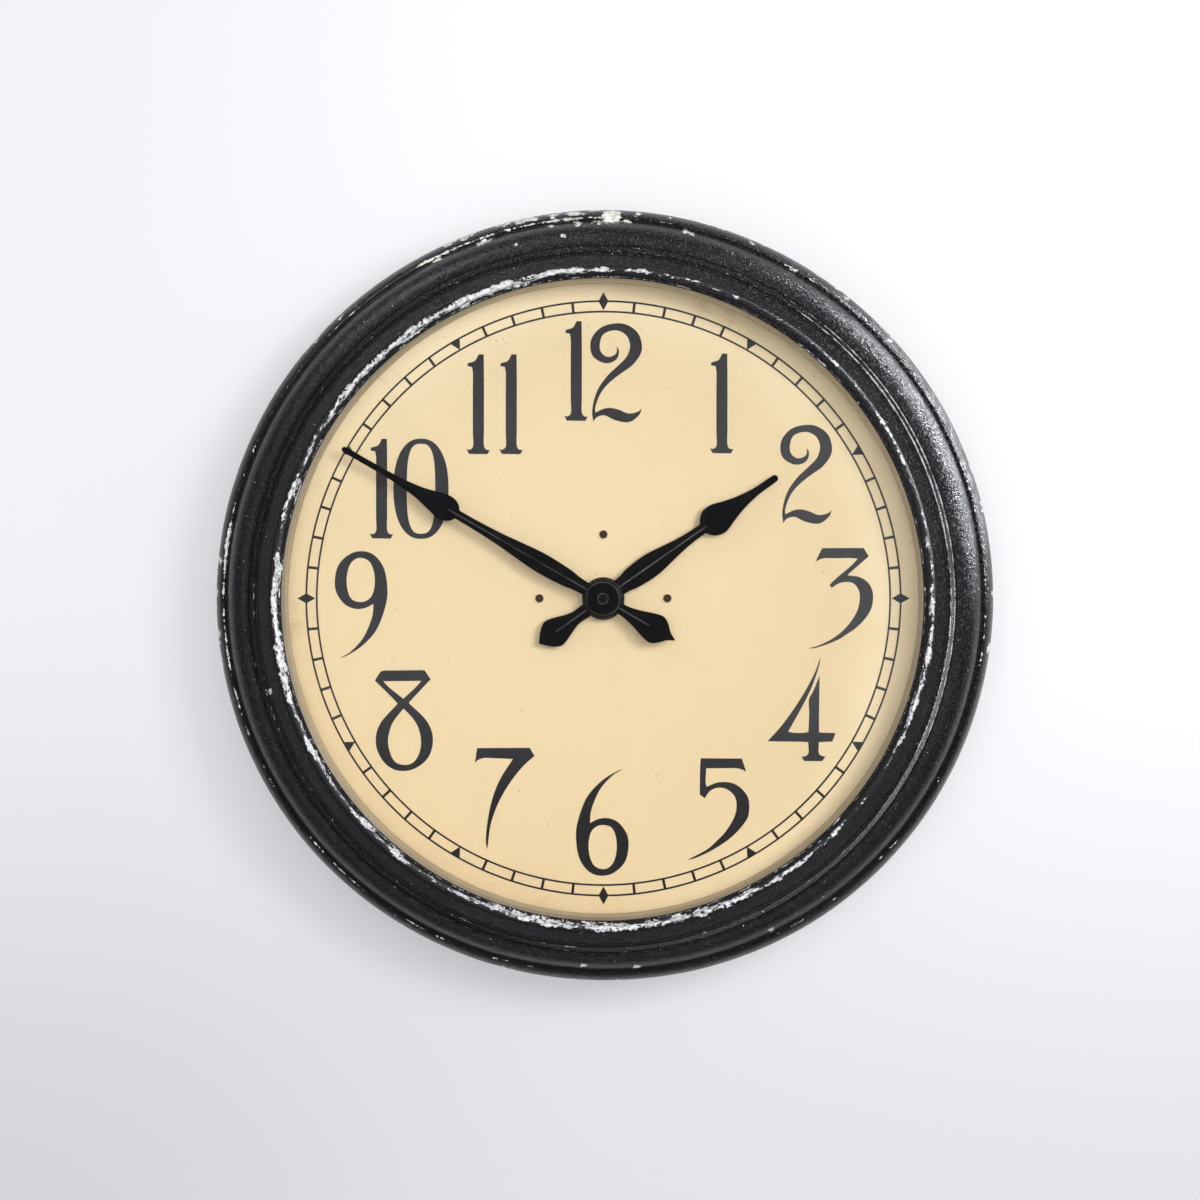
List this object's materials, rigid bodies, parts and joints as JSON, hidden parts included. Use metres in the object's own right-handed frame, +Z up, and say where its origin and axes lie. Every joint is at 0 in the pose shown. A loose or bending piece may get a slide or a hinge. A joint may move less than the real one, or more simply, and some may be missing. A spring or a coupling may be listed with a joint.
{
  "type": "factory wall clock",
  "caption": "Round electric impulse wall clock with a hinged moulded bezel, steel drum, cream dial and black spade hands.",
  "frame": {"origin": "centre of the drum's back face, on the wall and on the axis of the hands", "axes": "+Z up, +X to the right of someone facing the dial, +Y into the wall, so the dial faces -Y"},
  "size_m": [0.564, 0.1081, 0.564],
  "materials": {
    "black_enamel": "old gloss enamel, chipped to bright metal",
    "black_paint": "satin stoved paint",
    "dial_paint": "aged cream enamel",
    "ring_paint": "dulled cream paint",
    "window_glass": "clear",
    "hand_paint": "satin black",
    "browned_steel": "rusted brown",
    "plated_steel": "dull plated",
    "spring_steel": "polished",
    "brass": "lacquered, dulled",
    "soft_iron": "bare, oiled",
    "coil_fibre": "pressed fibre",
    "coil_wire": "enamelled copper wire",
    "rubber": "hardened"
  },
  "bodies": {
    "case": {"case_back": "black_paint", "case_side": "black_paint", "case_flange": "black_paint", "hanger_plate": "plated_steel", "hanger_rivets": "plated_steel", "cable_grommet": "rubber", "dial_posts": "plated_steel", "dial": "dial_paint", "dial_edge_screws": "browned_steel", "hinge_case_leaf": "black_paint", "hinge_case_rivets": "plated_steel", "hinge_pin": "plated_steel", "catch_post": "plated_steel", "front_plate": "brass", "back_plate": "brass", "plate_pillars": "brass", "pillar_screws": "plated_steel", "dial_feet": "brass", "movement_screws": "browned_steel", "intermediate_stud": "plated_steel", "coil_bobbins": "coil_fibre", "coil_windings": "coil_wire", "coil_cores": "soft_iron", "coil_yoke": "soft_iron", "armature_arbor": "plated_steel", "spring_post": "plated_steel", "return_spring": "spring_steel", "stop_pawl_post": "plated_steel", "stop_pawl_spring": "spring_steel", "terminal_block": "coil_fibre", "terminal_screws": "brass", "coil_leads": "coil_wire"},
    "bezel": {"bezel": "black_enamel", "bezel_backing_ring": "black_paint", "glass": "window_glass", "sight_ring": "ring_paint", "glass_clips": "brass", "hinge_bezel_leaf": "black_paint", "hinge_bezel_rivets": "plated_steel", "catch_keeper": "plated_steel"},
    "catch": {"catch_hook": "brass"},
    "minute_works": {"centre_arbor": "plated_steel", "ratchet_wheel": "brass", "cannon_pinion": "plated_steel", "minute_hand": "hand_paint", "minute_hand_collet": "hand_paint", "hand_nut": "browned_steel"},
    "intermediate": {"intermediate_wheel": "brass", "intermediate_pinion": "plated_steel"},
    "hour_works": {"hour_wheel": "brass", "hour_hand": "hand_paint", "hour_hand_collet": "hand_paint"},
    "armature": {"armature": "soft_iron", "drive_pawl_pin": "plated_steel", "drive_pawl_spring": "spring_steel"},
    "drive_pawl": {"drive_pawl": "spring_steel"},
    "stop_pawl": {"stop_pawl": "spring_steel"}
  },
  "joints": [
    {"name": "bezel_hinge", "type": "hinge", "parent": "case", "child": "bezel", "pos_m": [0.265, -0.041, 0], "axis": [0, 0, 1], "range_deg": [0, 105]},
    {"name": "catch_pivot", "type": "hinge", "parent": "case", "child": "catch", "pos_m": [-0.259, -0.038, 0], "axis": [1, 0, 0], "range_deg": [0, 60]},
    {"name": "minute_turn", "type": "hinge", "parent": "case", "child": "minute_works", "pos_m": [0, -0.0382, 0], "axis": [0, 1, 0], "continuous": true},
    {"name": "intermediate_turn", "type": "hinge", "parent": "case", "child": "intermediate", "pos_m": [0, -0.0545, -0.024], "axis": [0, 1, 0], "continuous": true},
    {"name": "hour_turn", "type": "hinge", "parent": "case", "child": "hour_works", "pos_m": [0, -0.0582, 0], "axis": [0, 1, 0], "continuous": true},
    {"name": "armature_pull", "type": "hinge", "parent": "case", "child": "armature", "pos_m": [0.036, -0.03825, -0.0297], "axis": [0, -1, 0], "range_deg": [0, 3.5], "stiffness_Nm_per_rad": 0.05, "springref_deg": -28.65, "deforming": ["return_spring"]},
    {"name": "drive_pawl_lift", "type": "hinge", "parent": "armature", "child": "drive_pawl", "pos_m": [-0.03047, -0.03825, -0.01892], "axis": [0, -1, 0], "range_deg": [0, 8], "stiffness_Nm_per_rad": 0.002, "springref_deg": -17.19, "deforming": ["drive_pawl_spring"]},
    {"name": "stop_pawl_lift", "type": "hinge", "parent": "case", "child": "stop_pawl", "pos_m": [-0.027, -0.03825, 0.027], "axis": [0, -1, 0], "range_deg": [0, 8], "stiffness_Nm_per_rad": 0.002, "springref_deg": -17.19, "deforming": ["stop_pawl_spring"]}
  ],
  "couplings": [
    {"joint": "intermediate_turn", "follows": "minute_turn", "ratio": -0.33333},
    {"joint": "hour_turn", "follows": "minute_turn", "ratio": 0.083333}
  ]
}
